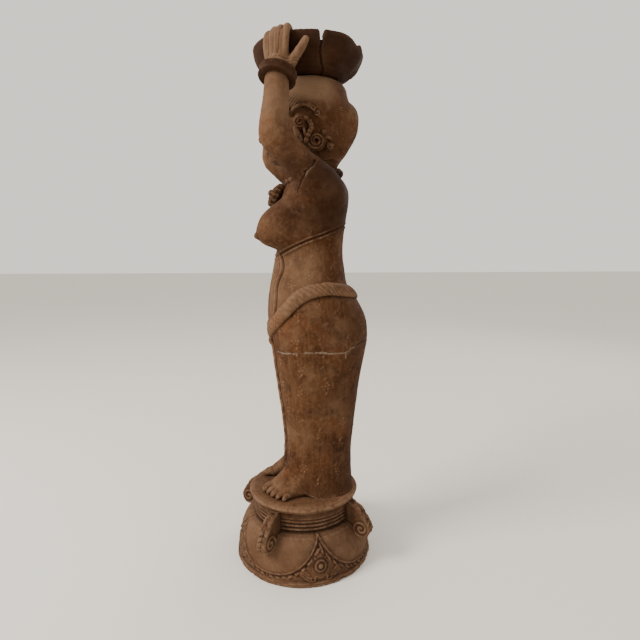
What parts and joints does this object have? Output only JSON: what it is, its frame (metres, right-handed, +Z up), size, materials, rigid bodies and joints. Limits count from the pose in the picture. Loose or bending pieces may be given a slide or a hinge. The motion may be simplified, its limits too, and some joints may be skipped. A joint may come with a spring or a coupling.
{
  "type": "terracotta figure of a woman carrying a bowl",
  "caption": "Tall terracotta figure of a standing woman in a wrapped skirt who steadies a bowl on her head with raised arms, on a round carved base with scroll brackets.",
  "frame": {"origin": "centre of the round base's flat underside, on the surface the figure stands on", "axes": "+Z up along the figure; she faces -Y; her left arm is on the +X side"},
  "size_m": [0.2478, 0.2478, 0.8908],
  "materials": {
    "terracotta": "unglazed low-fired clay, matt warm brown with orange-red patches, grey dust on raised places and near-black recesses"
  },
  "bodies": {
    "root": {"figure": "terracotta"}
  },
  "joints": []
}
